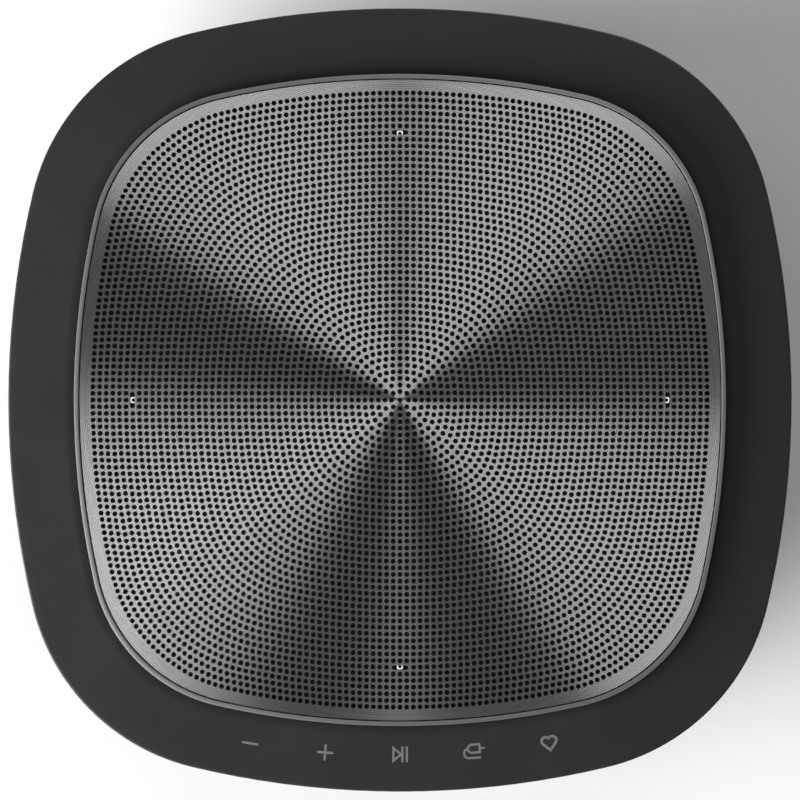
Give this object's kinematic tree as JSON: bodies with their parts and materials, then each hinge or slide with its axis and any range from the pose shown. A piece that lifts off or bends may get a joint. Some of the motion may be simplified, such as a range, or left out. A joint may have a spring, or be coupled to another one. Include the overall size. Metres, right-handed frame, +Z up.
{
  "type": "conference speakerphone",
  "caption": "Square-round tabletop speakerphone: up-firing loudspeaker under a domed perforated metal grille, axis microphones and flat touch keys on a soft plastic tub.",
  "frame": {"origin": "centre of the foot's contact plane", "axes": "+Z up, -Y towards the touch keys, +Y towards the sockets, +X to the right of someone facing the keys"},
  "size_m": [0.1776, 0.1776, 0.0615],
  "materials": {
    "soft_plastic": "soft-touch paint, fine grain",
    "black_plastic": "satin moulded",
    "clear_plastic": "clear, lightly diffusing",
    "rubber": "matt",
    "brushed_metal": "circular brushed, perforated",
    "aluminium": "satin turned",
    "nickel": "nickel plated",
    "steel": "zinc plated",
    "copper": "enamelled winding wire",
    "ferrite": "ground ferrite",
    "paper_cone": "pressed pulp",
    "black_cloth": "woven",
    "circuit_board": "solder resist",
    "amber_film": "polyimide film"
  },
  "bodies": {
    "chassis": {"lower_housing": "soft_plastic", "top_cover": "soft_plastic", "base_plate": "soft_plastic", "foot_ring": "rubber", "base_screw_1": "steel", "base_screw_2": "steel", "base_screw_3": "steel", "base_screw_4": "steel", "trim_ring": "aluminium", "grille_sheet": "brushed_metal", "grille_frame": "black_plastic", "acoustic_mesh": "black_cloth", "mic_board": "circuit_board", "mic_sleeve_right": "nickel", "mic_sleeve_back": "nickel", "mic_sleeve_left": "nickel", "mic_sleeve_front": "nickel", "mic_boot_right": "rubber", "mic_boot_back": "rubber", "mic_boot_left": "rubber", "mic_boot_front": "rubber", "mic_capsule_right": "nickel", "mic_capsule_back": "nickel", "mic_capsule_left": "nickel", "mic_capsule_front": "nickel", "speaker_box_front": "black_plastic", "speaker_box_rear": "black_plastic", "box_gasket": "rubber", "box_screw_1": "steel", "box_screw_2": "steel", "box_screw_3": "steel", "box_screw_4": "steel", "driver_basket": "steel", "driver_gasket": "rubber", "driver_screw_1": "steel", "driver_screw_2": "steel", "driver_screw_3": "steel", "driver_screw_4": "steel", "driver_top_plate": "steel", "driver_magnet": "ferrite", "driver_yoke": "steel", "driver_surround": "rubber", "driver_spider": "black_cloth", "main_board": "circuit_board", "processor_shield": "nickel", "wireless_module": "nickel", "amplifier_heatsink": "aluminium", "touch_board": "circuit_board", "key_light_guide": "clear_plastic", "touch_flex": "amber_film", "driver_lead": "black_plastic", "usb_c_socket": "nickel", "audio_jack": "black_plastic", "power_switch": "black_plastic"},
    "diaphragm": {"driver_cone": "paper_cone", "driver_dust_cap": "paper_cone", "voice_coil": "copper"},
    "power_key": {"power_button": "black_plastic"}
  },
  "joints": [
    {"name": "cone_travel", "type": "slide", "parent": "chassis", "child": "diaphragm", "axis": [0, 0, 1], "range_m": [-0.002, 0.002], "stiffness_N_per_m": 1500, "deforming": ["driver_surround", "driver_spider"]},
    {"name": "power_press", "type": "slide", "parent": "chassis", "child": "power_key", "axis": [0, -1, 0], "range_m": [0, 0.0005], "stiffness_N_per_m": 1500}
  ]
}
